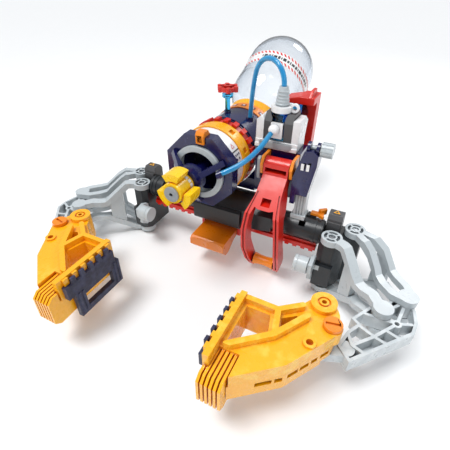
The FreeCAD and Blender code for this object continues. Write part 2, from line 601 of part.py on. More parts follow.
def pump_cylinder():
    outer = rod((PUMP_X, PUMP_Y, 73.2), Z, PUMP_TOP - 73.2, 7.6)
    flange = rod((PUMP_X, PUMP_Y, 94.0), Z, 1.6, 8.6)
    return fuse([outer, flange]).cut(rod((PUMP_X, PUMP_Y, 75.0), Z, 40.0, 6.0))


def pump_cap():
    cap = rod((PUMP_X, PUMP_Y, PUMP_TOP), Z, 3.4, 9.2)
    skirt = rod((PUMP_X, PUMP_Y, PUMP_TOP - 1.6), Z, 1.6, 9.2, 7.7)
    lug = rod((PUMP_X + 11.4, PUMP_Y - 1.5, PUMP_TOP + 2.2), Y, 3.0, 3.9, 2.1)
    return fuse([cap, skirt, lug]).cut(rod((PUMP_X, PUMP_Y, PUMP_TOP - 1), Z, 10.0, 2.5)).cut(
        rod((PUMP_X, PUMP_Y, 80.0), Z, PUMP_TOP - 80.0, 7.65))


CONE_TOP = 118.0


def hose_cone():
    z0 = PUMP_TOP + 3.4
    cone = Part.makeCone(5.8, 3.9, CONE_TOP - z0, V(PUMP_X, PUMP_Y, z0), Z)
    rings = [rod((PUMP_X, PUMP_Y, z0 + 2.6 * i + 1.0), Z, 1.0, 6.1 - 0.29 * i) for i in range(5)]
    bores = [rod((PUMP_X, PUMP_Y, z0 - 1), Z, 30.0, 1.2),
             rod((PUMP_X, PUMP_Y, CONE_TOP - HOSE_ENTRY), Z, 10.0, HOSE_R + FIT)]
    return cut(fuse([cone] + rings), bores)


def pump_rod():
    piston = rod((PUMP_X, PUMP_Y, 82.0), Z, 4.0, 5.94)
    stem = rod((PUMP_X, PUMP_Y, 86.0), Z, 7.0, 1.8)
    return fuse([piston, stem])


BALL = V(35.0, 9.6, 84.2)


def ball_fitting():
    """Swivel elbow on the pump's front that the lower hose pushes on to."""
    block = box((31.2, 42.0), (11.6, 14.6), (76.0, 89.5))
    ball = Part.makeSphere(4.8, BALL)
    start, after = V(*LOWER_HOSE[0]), V(*LOWER_HOSE[1])
    hose_path = Part.makeCylinder(3.0, 10.0, start, after - start)
    return cut(fuse([block, ball]), [rod((PUMP_X, PUMP_Y, 70.0), Z, 40.0, 7.65), hose_path])


# ---------------------------------------------------------------- hoses

def hose(points):
    """A tube of straight runs joined by tangent arcs as large as the runs allow."""
    points = [V(*p) for p in points]
    edges, start = [], points[0]
    for before, corner, after in zip(points, points[1:], points[2:]):
        a, b = (before - corner), (after - corner)
        turn = math.pi - a.getAngle(b)
        reach = 0.45 * min(a.Length, b.Length)
        radius = reach / math.tan(turn / 2)
        a.normalize()
        b.normalize()
        into, out = corner + a * reach, corner + b * reach
        bisector = a + b
        bisector.normalize()
        middle = corner + bisector * (radius / math.cos(turn / 2) - radius)
        edges += [Part.makeLine(start, into), Part.Arc(into, middle, out).toShape()]
        start = out
        print("hose radius %.1f mm, %.1f diameters" % (radius, radius / (2 * HOSE_R)))
    edges.append(Part.makeLine(start, points[-1]))
    path = Part.Wire(edges)
    direction = points[1] - points[0]
    section = Part.Wire([Part.makeCircle(HOSE_R, points[0], direction)])
    tube = path.makePipeShell([section], True, False)
    expected = math.pi * HOSE_R ** 2 * path.Length
    print("hose length %.1f mm, volume ratio %.4f" % (path.Length, tube.Volume / expected))
    return tube


def arch_route(start, bearing, moves):
    """Points of a flat arch: runs, each followed by a turn from upright towards the bearing."""
    points, along, height, lean = [start], 0.0, start[2], 0.0
    for run, turn in moves:
        along += run * math.sin(math.radians(lean))
        height += run * math.cos(math.radians(lean))
        points.append((start[0] + along * math.cos(bearing), start[1] + along * math.sin(bearing), height))
        lean += turn
    return points


HOSE_ENTRY = 3.5
ARCH_BEARING = math.radians(152.1)
UPPER_HOSE = arch_route((PUMP_X, PUMP_Y, CONE_TOP - HOSE_ENTRY), ARCH_BEARING,
                        [(5.0, 15)] * 11 + [(8.5, 6), (12.0, 4), (14.0, 2.5), (10.5, 0)])
LOWER_HOSE = [(33.9, 6.0, 81.9), (32.3, -5.0, 76.9), (29.0, -16.0, 71.4), (23.6, -26.0, 66.2),
              (16.5, -33.5, 61.8), (9.0, -38.5, 58.0)]


# ---------------------------------------------------------------- barrel

HOUSING_BACK = -20.0
SELECTOR_Y = 10.2


def octagon(half):
    corner = half * math.tan(math.radians(22.5))
    flat = [(half, -corner), (half, corner), (corner, half), (-corner, half), (-half, corner),
            (-half, -corner), (-corner, -half), (corner, -half)]
    return [(BARREL_X + x, BARREL_Z + z) for x, z in flat]


def barrel_housing():
    shell = front_prism(octagon(BARREL_R + 1.0), -31.0, HOUSING_BACK)
    end, before = V(*LOWER_HOSE[-1]), V(*LOWER_HOSE[-2])
    socket = Part.makeCylinder(3.2, 5.0, end, end - before)
    post = rod((end.x - 1.6, -40.0, end.z - 1.2), Y, 10.0, 3.2)
    body = fuse([shell, socket, post])
    hose_path = Part.makeCylinder(HOSE_R + 0.1, 20.0, end, before - end)
    return cut(body, [ring(-60.0, HOUSING_BACK - 2.0, 24.85, 0.0), ring(-60.0, 10.0, 23.0, 0.0), hose_path])


def front_ring():
    body = ring(-31.5, HOUSING_BACK - 2.0, 24.8, 21.5)
    lip = ring(-34.0, -31.0, 24.8, 19.4)
    return fuse([body, lip])


def nozzle_spider():
    """Hub on three arms in front of the barrel, with the water tube behind it."""
    hub = ring(-54.0, -41.0, 12.5, 6.0)
    arms = []
    for angle in (30, 150, 270):
        arm = extrude([V(BARREL_X + 8.0, -52.0, BARREL_Z - 2.6), V(BARREL_X + 30.0, -33.0, BARREL_Z - 2.6),
                       V(BARREL_X + 30.0, -31.0, BARREL_Z - 2.6), V(BARREL_X + 25.0, -31.0, BARREL_Z - 2.6),
                       V(BARREL_X + 25.0, -34.4, BARREL_Z - 2.6), V(BARREL_X + 8.0, -43.0, BARREL_Z - 2.6)],
                      V(0, 0, 5.2))
        arms.append(barrel_turn(arm, angle))
    tube = ring(-54.0, 56.0, 6.0, 4.2)
    return fuse([hub, tube] + arms).cut(ring(-60.0, 60.0, 4.2, 0.0))


def nozzle_petals():
    """Three yellow grip petals on a turning collar."""
    collar = ring(-74.0, -54.3, 8.8, 5.2)
    petals = []
    for angle in (97, 217, 337):
        sector = ring(-72.5, -57.0, 16.4, 10.2)
        wedge = front_prism([(BARREL_X, BARREL_Z), (BARREL_X + 30.0, BARREL_Z - 17.0), (BARREL_X + 30.0,
                             BARREL_Z + 17.0)], -80.0, -40.0)
        petal = sector.common(wedge)
        stem = box((BARREL_X + 8.0, BARREL_X + 11.0), (-71.0, -59.0), (BARREL_Z - 3.0, BARREL_Z + 3.0))
        petals.append(barrel_turn(fuse([petal, stem]), angle))
    return fuse([collar] + petals).cut(ring(-80.0, -40.0, 5.2, 0.0))


def nozzle_tip():
    face = ring(-76.0, -74.1, 6.6, 1.6)
    stem = ring(-74.1, -54.2, 5.1, 3.0)
    spigot = ring(-54.5, -44.0, 4.14, 3.0)
    return fuse([face, stem, spigot])


def white_band():
    return ring(HOUSING_BACK + FIT, -6.0, BARREL_R, SLEEVE_R + FIT)


def yellow_band():
    body = ring(-6.0 + FIT, SELECTOR_Y - 0.2, BARREL_R + 1.4, SLEEVE_R + FIT)
    slots = []
    for angle in (25, 60, 115, 150):
        slot = box((BARREL_X + BARREL_R - 1.0, BARREL_X + BARREL_R + 6), (-2.0, 4.0),
                   (BARREL_Z - 2.4, BARREL_Z + 2.4))
        slots.append(barrel_turn(slot, angle))
    step = ring(5.5, SELECTOR_Y, BARREL_R + 6, BARREL_R + 0.4)
    return cut(body, slots + [step])


def selector_ring():
    body = ring(SELECTOR_Y, SELECTOR_Y + 8.6, BARREL_R - 0.6, SLEEVE_R + 0.08)
    tooth = box((BARREL_X + BARREL_R - 2.0, BARREL_X + BARREL_R + 2.4), (SELECTOR_Y + 0.6, SELECTOR_Y + 8.0),
                (BARREL_Z - 2.3, BARREL_Z + 2.3))
    return fuse([body] + [barrel_turn(tooth, 360.0 / 22 * i) for i in range(22)])


def rear_band():
    """Rear half of the barrel with the sleeve that carries the other bands, and two sockets."""
    body = ring(SELECTOR_Y + 8.8, 56.0, BARREL_R, SLEEVE_R - 0.5)
    waist = ring(SELECTOR_Y + 9.8, SELECTOR_Y + 13.0, BARREL_R + 2, BARREL_R - 1.4)
    sleeve = ring(HOUSING_BACK + FIT, 56.0, SLEEVE_R, SLEEVE_R - 2.0)
    post_seat = rod((VALVE[0], VALVE[1], VALVE[2] - 12.0), Z, 13.0, 3.6)
    end, before = V(*UPPER_HOSE[-1]), V(*UPPER_HOSE[-2])
    hose_seat = Part.makeCylinder(3.6, 9.0, end, end - before)
    floor = ring(10.0, 12.0, SLEEVE_R - 1.0, 6.0)
    body = fuse([body.cut(waist), sleeve, post_seat.fuse(hose_seat)])
    body = cut(body, [ring(-40.0, 80.0, SLEEVE_R - 2.0, 0.0), rod(VALVE, Z, 5.0, 2.65)])
    return fuse([body, floor])


def cap_ring():
    body = ring(56.1, 71.0, BARREL_R + 0.8, 24.0)
    marks = []
    for i in range(20):
        mark = box((BARREL_X + BARREL_R + 0.2, BARREL_X + BARREL_R + 2.0), (60.0, 66.0),
                   (BARREL_Z - 2.4, BARREL_Z + 2.4))
        marks.append(barrel_turn(mark, 18 * i))
    return cut(body, marks)


def tank_collar():
    """Angled neck between the barrel and the tank, and the seat the bottle turns in."""
    px, py, pz = TANK_PIVOT
    ball = Part.makeSphere(31.6, V(px, py - 2.0, pz + 2.0))
    keep = box((-60.0, 30.0), (71.1, 130.0), (0.0, 120.0))
    sleeve = tank_turn(rod((px, py + 6.0, pz), Y, 14.0, 31.5))
    ahead = tank_turn(box((px - 60, px + 60), (py + 20.0, py + 90.0), (pz - 70, pz + 70)))
    bore = tank_turn(rod((px, py + 8.0, pz), Y, 40.0, 27.0))
    throat = tank_turn(rod((px, py - 30.0, pz), Y, 60.0, 20.0))
    in_front = box((-80, 60), (0, 71.1), (-20, 140))
    return cut(fuse([ball.common(keep), sleeve]), [ahead, bore, throat, in_front])


def tank():
    """Clear bottle: open neck, shoulder, cylinder and dome, made along Y and tipped."""
    px, py, pz = TANK_PIVOT

    def profile(offset):
        r, neck, shoulder, dome = TANK_R - offset, 26.6 - offset, 62.0, 99.4
        p = [V(px, py + 10.0, pz), V(px, py + 10.0, pz + neck), V(px, py + 26.0, pz + neck),
             V(px, py + shoulder, pz + r), V(px, py + dome, pz + r), V(px, py + dome + r, pz)]
        bulge = V(px, py + 42.0, pz + neck + (r - neck) * 0.86)
        arc = math.sqrt(0.5)
        crown = V(px, py + dome + r * arc, pz + r * arc)
        edges = [Part.makeLine(p[0], p[1]), Part.makeLine(p[1], p[2]), Part.Arc(p[2], bulge, p[3]).toShape(),
                 Part.makeLine(p[3], p[4]), Part.Arc(p[4], crown, p[5]).toShape(), Part.makeLine(p[5], p[0])]
        return Part.Face(Part.Wire(edges)).revolve(V(px, py, pz), Y, 360)

    shell = profile(0.0).cut(profile(TANK_WALL))
    mouth = rod((px, py + 9.0, pz), Y, 6.0, 26.6 - TANK_WALL)
    return tank_turn(shell.cut(mouth))


def top_clip():
    x, top = BARREL_X + 3.0, BARREL_Z + BARREL_R + 1.0
    clip = side_prism([(-33.0, top - 6.0), (-33.6, top + 2.0), (-31.5, top + 5.0), (-25.0, top + 5.0),
                       (-21.5, top + 0.05), (-31.05, top + 0.05), (-31.05, top - 6.0)], x - 4.0, x + 4.0)
    slot = box((x - 1.8, x + 1.8), (-40.0, -31.5), (top - 4.5, top + 1.5))
    return clip.cut(slot)


# ---------------------------------------------------------------- valve, rear bracket, mast

VALVE = (-25.0, 40.0, 82.0)
WHEEL_Z = 101.0


def valve_post():
    x, y, z = VALVE
    post = rod((x, y, z), Z, 16.0, 2.6)
    flange = rod((x, y, z + 14.0), Z, 3.5, 5.4)
    neck = rod((x, y, z + 17.5), Z, 7.0, 2.0)
    return fuse([post, flange, neck])


def valve_wheel():
    x, y, _ = VALVE
    hub = rod((x, y, WHEEL_Z), Z, 6.4, 4.4)
    rim = rod((x, y, WHEEL_Z + 1.4), Z, 3.6, 9.4, 6.8)
    parts = [hub, rim]
    for i in range(6):
        a = math.radians(60 * i)
        parts.append(rod((x + 8.7 * math.cos(a), y + 8.7 * math.sin(a), WHEEL_Z + 0.8), Z, 4.8, 2.2))
        spoke = box((x + 3.0, x + 8.0), (y - 1.1, y + 1.1), (WHEEL_Z + 1.6, WHEEL_Z + 4.6))
        parts.append(around(spoke, (x, y, 0), Z, 60 * i))
    return fuse(parts).cut(rod((x, y, WHEEL_Z - 1), Z, 10.0, 2.06))


def rear_bracket():
    plate = side_prism([(58.0, 44.0), (58.0, 98.0), (66.0, 104.0), (70.0, 104.0), (70.0, 44.0)], 44.0, 58.0)
    hood = front_prism([(30.0, 97.5), (30.0, 100.5), (44.0, 104.0), (58.0, 104.0), (58.0, 97.5)], 46.0, 66.0)
    fin = side_prism([(46.0, 104.0), (52.0, 109.0), (64.0, 109.0), (66.0, 104.0)], 52.0, 55.0)
    foot = box((36.0, 58.0), (58.0, 66.0), (50.0, 58.0))
    return cut(fuse([plate, hood, fin, foot]), [box((30.0, 50.0), (30.0, 62.0), (56.0, 66.0))])


def accumulator():
    x, z = 42.0, 87.0
    body = rod((x, 40.0, z), Y, 18.0, 9.0, 7.4)
    back = rod((x, 56.0, z), Y, 2.0, 7.4)
    neck = rod((x, 36.2, z), Y, 3.8, 3.2)
    front = rod((x, 40.0, z), Y, 1.6, 7.4)
    strap = box((x - 1.5, x + 1.5), (46.0, 56.0), (z + 8.8, 97.4))
    return fuse([body, back, neck, front, strap]).cut(rod((x, 41.6, z), Y, 14.4, 7.4))


def mast_post():
    post = box((65.5, 75.5), (-3.0, 7.0), (8.0, 44.0))
    flutes = [box((x, x + 1.2), (-3.6, -2.2), (14.0, 42.0)) for x in (67.5, 70.0, 72.5)]
    foot = box((63.5, 76.8), (-5.0, 9.0), (9.2, 14.0))
    return cut(fuse([post, foot]), flutes + [rod((60, 0, 0), X, 40.0, BEAM_R + FIT)])


def mast_bracket():
    arm = front_prism([(61.0, 26.0), (65.3, 26.0), (65.3, 36.0), (75.7, 36.0), (80.0, 66.0), (80.0, 75.0),
                       (75.0, 79.0), (68.0, 77.0), (61.0, 52.0)], -6.0, 8.0)
    post = box((65.3, 75.7), (-3.2, 7.2), (8.0, 44.2))
    window = front_prism([(66.5, 61.0), (74.5, 62.5), (75.5, 68.5), (68.0, 67.0)], -10.0, -3.5)
    bars = front_prism([(70.5, 60.0), (72.1, 60.0), (72.9, 70.0), (71.3, 70.0)], -6.0, -3.6)
    ears = [rod((x, 1.0, 79.0), X, 2.6, 5.0) for x in (69.0, 76.6)]
    base = box((50.0, 64.0), (8.0, 12.0), (30.0, 44.0))
    return cut(fuse([arm, base] + ears), [post, window.cut(bars), rod((68, 1.0, 79.0), X, 20.0, 2.0)])


def mast_knob():
    cap = rod((80.4, 1.0, 79.0), X, 9.5, 6.2)
    axle = rod((69.0, 1.0, 79.0), X, 12.0, 1.94)
    turns = [math.radians(30 * i) for i in range(12)]
    grooves = [rod((80.8, 1.0 + 6.2 * math.cos(t), 79.0 + 6.2 * math.sin(t)), X, 11.0, 0.5) for t in turns]
    return fuse([cut(cap, grooves), axle])


# ---------------------------------------------------------------- export

def save(name, shape):
    shape.exportStep("parts/%s.step" % name)


SIDED = {"stop_knob": stop_knob, "front_link": front_link, "rear_link": rear_link, "forearm": forearm,
         "elbow_pins": elbow_pins, "finger_upper": finger_upper, "finger_lower": finger_lower,
         "grip_pad": grip_pad, "lock_pin": lock_pin}
BOTH_SIDES = {"end_blocks": end_block, "end_caps": end_cap, "shoulder_pins": shoulder_pins,
              "stop_yokes": stop_yoke}
SINGLES = {"beam_tube": beam_tube, "handle_shell": handle_shell, "beam_rail": beam_rail, "trigger": trigger,
           "latch": latch, "lever": lever, "lever_roller": lever_roller, "lever_bracket": lever_bracket,
           "saddle": saddle, "pump_base": pump_base, "pump_cheeks": pump_cheeks,
           "pump_cylinder": pump_cylinder, "pump_cap": pump_cap, "hose_cone": hose_cone,
           "pump_rod": pump_rod, "ball_fitting": ball_fitting, "barrel_housing": barrel_housing,
           "front_ring": front_ring, "nozzle_spider": nozzle_spider, "nozzle_petals": nozzle_petals,
           "nozzle_tip": nozzle_tip, "white_band": white_band, "yellow_band": yellow_band,
           "selector_ring": selector_ring, "rear_band": rear_band, "cap_ring": cap_ring,
           "tank_collar": tank_collar, "tank": tank, "top_clip": top_clip, "valve_post": valve_post,
           "valve_wheel": valve_wheel, "rear_bracket": rear_bracket, "accumulator": accumulator,
           "mast_post": mast_post, "mast_bracket": mast_bracket, "mast_knob": mast_knob}

os.makedirs("parts", exist_ok=True)
for name, make in SIDED.items():
    shape = make()
    save("right_" + name, shape)
    save("left_" + name, shape.mirror(V(0, 0, 0), X))
for name, make in BOTH_SIDES.items():
    shape = make()
    save(name, Part.makeCompound([shape, shape.mirror(V(0, 0, 0), X)]))
for name, make in SINGLES.items():
    save(name, make())
save("upper_hose", hose(UPPER_HOSE))
save("lower_hose", hose(LOWER_HOSE))
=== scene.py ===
"""Looks of the hydraulic arm kit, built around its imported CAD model. Helpers take millimetres."""
import math

import bmesh
import bpy
from mathutils import Matrix, Vector


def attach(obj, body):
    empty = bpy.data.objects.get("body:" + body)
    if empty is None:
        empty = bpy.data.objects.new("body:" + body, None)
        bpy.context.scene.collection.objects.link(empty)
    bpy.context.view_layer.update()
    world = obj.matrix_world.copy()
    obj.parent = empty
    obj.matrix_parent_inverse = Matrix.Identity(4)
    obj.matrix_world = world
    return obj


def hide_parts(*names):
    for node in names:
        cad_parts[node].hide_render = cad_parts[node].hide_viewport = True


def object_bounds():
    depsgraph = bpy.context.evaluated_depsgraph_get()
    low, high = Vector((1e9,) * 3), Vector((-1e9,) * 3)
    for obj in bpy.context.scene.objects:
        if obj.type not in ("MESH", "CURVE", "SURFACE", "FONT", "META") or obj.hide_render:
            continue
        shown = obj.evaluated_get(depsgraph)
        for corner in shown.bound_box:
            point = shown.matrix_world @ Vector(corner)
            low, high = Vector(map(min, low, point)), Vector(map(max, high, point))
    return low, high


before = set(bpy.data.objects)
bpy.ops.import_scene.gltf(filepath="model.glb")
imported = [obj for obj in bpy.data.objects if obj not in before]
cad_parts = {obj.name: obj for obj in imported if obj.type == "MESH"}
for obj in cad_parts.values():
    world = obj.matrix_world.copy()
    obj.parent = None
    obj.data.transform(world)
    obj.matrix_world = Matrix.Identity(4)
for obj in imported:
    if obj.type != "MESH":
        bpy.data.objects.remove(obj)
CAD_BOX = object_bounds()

MM = 0.001
X, Y, Z = Vector((1, 0, 0)), Vector((0, 1, 0)), Vector((0, 0, 1))
SIDES = (("right", 1.0), ("left", -1.0))
scene = bpy.context.scene
scene.view_settings.view_transform = "Standard"
RANGE_SOCKETS = ("From Min", "From Max", "To Min", "To Max")


# ---------------------------------------------------------------- camera, floor and light

# Places and sizes here are in metres, and angles in degrees.
CAMERA_AT = (0.1284, -0.2679, 0.1971)
CAMERA_AZIMUTH, CAMERA_ELEVATION, CAMERA_ROLL = 26.779, 36.701, 0.403
LENS_MM, SENSOR_MM = 27.68, 36.0
CLIP_NEAR, CLIP_FAR = 0.01, 60.0
LAMP_TARGET = Vector((0, -0.02, 0.02))
WHITE_LIGHT, COOL_LIGHT = (1, 1, 1), (0.95, 0.97, 1.0)
LAMPS = (("key", (-0.30, -0.45, 0.95), 0.30, 2.0, WHITE_LIGHT),
         ("fill", (0.75, -0.55, 0.45), 0.35, 0.9, COOL_LIGHT),
         ("back", (0.25, 0.75, 0.65), 0.30, 1.6, WHITE_LIGHT))
SUN_STRENGTH, SUN_SOFTNESS, SUN_TOWARDS = 1.6, 24.0, (0.25, 0.30, -1.0)
WORLD_COLOUR, WORLD_LOW, WORLD_HIGH = (0.96, 0.98, 1.0, 1), 0.22, 0.72
WORLD_FROM, WORLD_TO = -0.1, 0.9
FLOOR_HALF, FLOOR_GAP = 9, 0.0004
FLOOR_COLOURS = (0.90, 0.91, 0.92, 1), (0.93, 0.935, 0.94, 1)


def add_camera():
    az, el, roll = (math.radians(v) for v in (CAMERA_AZIMUTH, CAMERA_ELEVATION, CAMERA_ROLL))
    back = Vector((math.sin(az) * math.cos(el), -math.cos(az) * math.cos(el), math.sin(el)))
    right = Vector((math.cos(az), math.sin(az), 0.0))
    up = back.cross(right)
    rolled_right = right * math.cos(roll) + up * math.sin(roll)
    rolled_up = up * math.cos(roll) - right * math.sin(roll)
    data = bpy.data.cameras.new("camera")
    data.lens, data.sensor_width = LENS_MM, SENSOR_MM
    data.clip_start, data.clip_end = CLIP_NEAR, CLIP_FAR
    camera = bpy.data.objects.new("camera", data)
    turn = Matrix((rolled_right, rolled_up, back)).transposed().to_4x4()
    camera.matrix_world = Matrix.Translation(CAMERA_AT) @ turn
    scene.collection.objects.link(camera)
    scene.camera = camera


def add_light(name, at, size, watts, colour):
    data = bpy.data.lights.new(name, "AREA")
    data.energy, data.shape, data.size, data.color = watts, "DISK", size, colour
    lamp = bpy.data.objects.new(name, data)
    lamp.location = at
    lamp.rotation_euler = (LAMP_TARGET - Vector(at)).to_track_quat("-Z", "Y").to_euler()
    scene.collection.objects.link(lamp)


def add_sun():
    data = bpy.data.lights.new("sun", "SUN")
    data.energy, data.angle = SUN_STRENGTH, math.radians(SUN_SOFTNESS)
    lamp = bpy.data.objects.new("sun", data)
    lamp.rotation_euler = Vector(SUN_TOWARDS).to_track_quat("-Z", "Y").to_euler()
    scene.collection.objects.link(lamp)


def add_world():
    """Soft studio surroundings: grey below and at the horizon, bright overhead."""
    world = bpy.data.worlds.new("studio")
    world.use_nodes = True
    tree = world.node_tree
    place = tree.nodes.new("ShaderNodeTexCoord")
    split = tree.nodes.new("ShaderNodeSeparateXYZ")
    tree.links.new(place.outputs["Generated"], split.inputs[0])
    ramp = tree.nodes.new("ShaderNodeMapRange")
    for socket, value in zip(RANGE_SOCKETS, (WORLD_FROM, WORLD_TO, WORLD_LOW, WORLD_HIGH)):
        ramp.inputs[socket].default_value = value
    tree.links.new(split.outputs["Z"], ramp.inputs["Value"])
    tree.links.new(ramp.outputs["Result"], tree.nodes["Background"].inputs["Strength"])
    tree.nodes["Background"].inputs["Color"].default_value = WORLD_COLOUR
    scene.world = world


def add_floor():
    """A wide paper floor just under the object, left out of the export."""
    mesh = bpy.data.meshes.new("floor")
    shape = bmesh.new()
    low, h = CAD_BOX[0][2] - FLOOR_GAP, FLOOR_HALF
    corners = [shape.verts.new((x, y, low)) for x, y in ((-h, -h), (h, -h), (h, h), (-h, h))]
    shape.faces.new(corners)
    shape.to_mesh(mesh)
    shape.free()
    floor = bpy.data.objects.new("floor", mesh)
    s = Shader("floor_paper")
    s.link(s.mix(s.noise(30, 3), *FLOOR_COLOURS), s.bsdf.inputs["Base Color"])
    s.link(s.spread(s.noise(300, 2), *NOISE_SPAN, 0.7, 0.85), s.bsdf.inputs["Roughness"])
    mesh.materials.append(s.material)
    scene.collection.objects.link(floor)


# ---------------------------------------------------------------- materials

NOISE_SPAN = (0.3, 0.7)         # where nearly all of a noise's values lie
CREVICE_REACH = 0.005           # metres
OPEN_SKY = (0.15, 0.75)         # the ambient occlusion of a deep recess and of open skin
GREY_LIMIT = 0.04045            # below this, a display colour is a straight share of the light


def srgb(*parts):
    """A display colour, 0 to 255, as the linear colour that a shader takes."""
    shares = [c / 255 for c in parts]
    return opaque(c / 12.92 if c <= GREY_LIMIT else ((c + 0.055) / 1.055) ** 2.4 for c in shares)


def opaque(parts):
    return tuple(parts) + (1.0,)


class Shader:
    """One material's node tree, with short calls for the nodes used here."""

    def __init__(self, name):
        self.material = bpy.data.materials.new(name)
        self.material.use_nodes = True
        self.tree = self.material.node_tree
        self.bsdf = self.tree.nodes["Principled BSDF"]
        self.place = self.tree.nodes.new("ShaderNodeTexCoord").outputs["Object"]

    def link(self, source, target):
        self.tree.links.new(source, target)

    def noise(self, scale, detail=2.0, stretch=None):
        """Noise with this many cells to the metre, as a 0 to 1 factor."""
        node = self.tree.nodes.new("ShaderNodeTexNoise")
        node.inputs["Scale"].default_value = scale
        node.inputs["Detail"].default_value = detail
        place = self.place
        if stretch:
            mapping = self.tree.nodes.new("ShaderNodeMapping")
            mapping.inputs["Scale"].default_value = stretch
            self.link(place, mapping.inputs["Vector"])
            place = mapping.outputs["Vector"]
        self.link(place, node.inputs["Vector"])
        return node.outputs["Fac"]

    def spread(self, source, low, high, out_low, out_high):
        """Maps low to high onto out_low to out_high, without going past either."""
        node = self.tree.nodes.new("ShaderNodeMapRange")
        for socket, value in zip(RANGE_SOCKETS, (low, high, out_low, out_high)):
            node.inputs[socket].default_value = value
        self.link(source, node.inputs["Value"])
        return node.outputs["Result"]

    def mix(self, factor, a, b):
        """a where factor is 0, b where it is 1. Each is a colour or a socket."""
        node = self.tree.nodes.new("ShaderNodeMix")
        node.data_type = "RGBA"
        self.link(factor, node.inputs["Factor"])
        for socket, value in ((node.inputs[6], a), (node.inputs[7], b)):
            if isinstance(value, tuple):
                socket.default_value = value
            else:
                self.link(value, socket)
        return node.outputs[2]

    def recess_shade_mask(self, reach):
        """1 deep in a recess and 0 in the open, from ambient occlusion; it places painted shade."""
        node = self.tree.nodes.new("ShaderNodeAmbientOcclusion")
        node.samples = 4
        node.inputs["Distance"].default_value = reach
        return self.spread(node.outputs["AO"], *OPEN_SKY, 0.9, 0.0)

    def edge(self, start=0.58, end=0.70):
        """1 on a sharp outer edge."""
        geometry = self.tree.nodes.new("ShaderNodeNewGeometry")
        return self.spread(geometry.outputs["Pointiness"], start, end, 0.0, 1.0)

    def bump(self, source, strength, depth):
        node = self.tree.nodes.new("ShaderNodeBump")
        node.inputs["Strength"].default_value = strength
        node.inputs["Distance"].default_value = depth
        self.link(source, node.inputs["Height"])
        if self.bsdf.inputs["Normal"].is_linked:
            self.link(self.bsdf.inputs["Normal"].links[0].from_socket, node.inputs["Normal"])
        self.link(node.outputs["Normal"], self.bsdf.inputs["Normal"])

    def set(self, **values):
        for socket, value in values.items():
            self.bsdf.inputs[socket.replace("_", " ")].default_value = value


def moulded(name, colour, deep, worn, rough, coat, grain=0.06, metallic=0.0):
    """Moulded plastic: faint mottling, painted recess shade, edges paled partly by wear and partly
    by painted highlight, grain and wavy gloss.
    """
    s = Shader(name)
    pale = opaque(min(1.0, c * 1.03) for c in colour[:3])
    dull = opaque(c * 0.95 for c in colour[:3])
    base = s.mix(s.spread(s.noise(14, 2), *NOISE_SPAN, 0, 1), dull, pale)
    # Painted shade: the darker recess colour is mixed in where ambient occlusion finds a recess.
    base = s.mix(s.recess_shade_mask(CREVICE_REACH), base, deep)
    # Paler colour on sharp edges, in noisy patches: partly edge wear and partly painted highlight.
    handled = s.spread(s.noise(140, 4), 0.45, 0.62, 0.03, 0.32)
    edge_wear_and_highlight = s.tree.nodes.new("ShaderNodeMath")
    edge_wear_and_highlight.operation = "MULTIPLY"
    s.link(s.edge(), edge_wear_and_highlight.inputs[0])
    s.link(handled, edge_wear_and_highlight.inputs[1])
    base = s.mix(edge_wear_and_highlight.outputs[0], base, worn)
    s.link(base, s.bsdf.inputs["Base Color"])
    gloss = s.spread(s.noise(220, 4), *NOISE_SPAN, rough - 0.05, rough + 0.09)
    s.link(gloss, s.bsdf.inputs["Roughness"])
    s.bump(s.noise(2400, 1), grain, 0.00008)
    s.bump(s.noise(260, 2), 0.05, 0.0003)
    s.set(Coat_Weight=coat, Coat_Roughness=0.06, Metallic=metallic, Specular_IOR_Level=0.5)
    return s.material


# RIM_SHADE is the share of the tint left in the painted shade on a clear shell's rim.
RIM_SHADE, CLEAR_IOR = (0.50, 0.56, 0.66), 1.42


def clear(name, tint, rough=0.02):
    """Clear plastic with flow waves, faint rubbing and painted shade on its rim, where it turns from
    the camera.
    """
    s = Shader(name)
    dull = opaque(c * 0.96 for c in tint[:3])
    seen = s.mix(s.spread(s.noise(60, 2), *NOISE_SPAN, 0, 1), tint, dull)
    rubbed = s.spread(s.noise(90, 4, (1, 6, 1)), 0.45, 0.8, rough, rough + 0.08)
    s.link(rubbed, s.bsdf.inputs["Roughness"])
    s.bump(s.noise(38, 1), 0.10, 0.0006)
    # Painted shade: the tint darkens by RIM_SHADE where the shell turns from the camera.
    rim = s.tree.nodes.new("ShaderNodeLayerWeight")
    rim.inputs["Blend"].default_value = 0.28
    shade = opaque(c * d for c, d in zip(tint[:3], RIM_SHADE))
    s.link(s.mix(rim.outputs["Facing"], seen, shade), s.bsdf.inputs["Base Color"])
    s.set(Transmission_Weight=1.0, IOR=CLEAR_IOR)
    return s.material


def hose_material(name):
    """Blue see-through tubing: deep colour in its middle and a painted highlight along its edges,
    where it turns from the camera.
    """
    s = Shader(name)
    rim = s.tree.nodes.new("ShaderNodeLayerWeight")
    rim.inputs["Blend"].default_value = 0.35
    # Painted highlight: pale blue where the tube turns from the camera, deep blue where it faces it.
    base = s.mix(rim.outputs["Facing"], srgb(10, 150, 214), srgb(120, 214, 246))
    base = s.mix(s.spread(s.noise(120, 3), 0.4, 0.7, 0, 0.5), base, srgb(4, 120, 190))
    s.link(base, s.bsdf.inputs["Base Color"])
    s.link(s.spread(s.noise(300, 3), *NOISE_SPAN, 0.14, 0.26), s.bsdf.inputs["Roughness"])
    s.bump(s.noise(900, 2), 0.06, 0.0001)
    s.set(Transmission_Weight=0.25, IOR=1.4, Coat_Weight=0.5, Coat_Roughness=0.05)
    return s.material


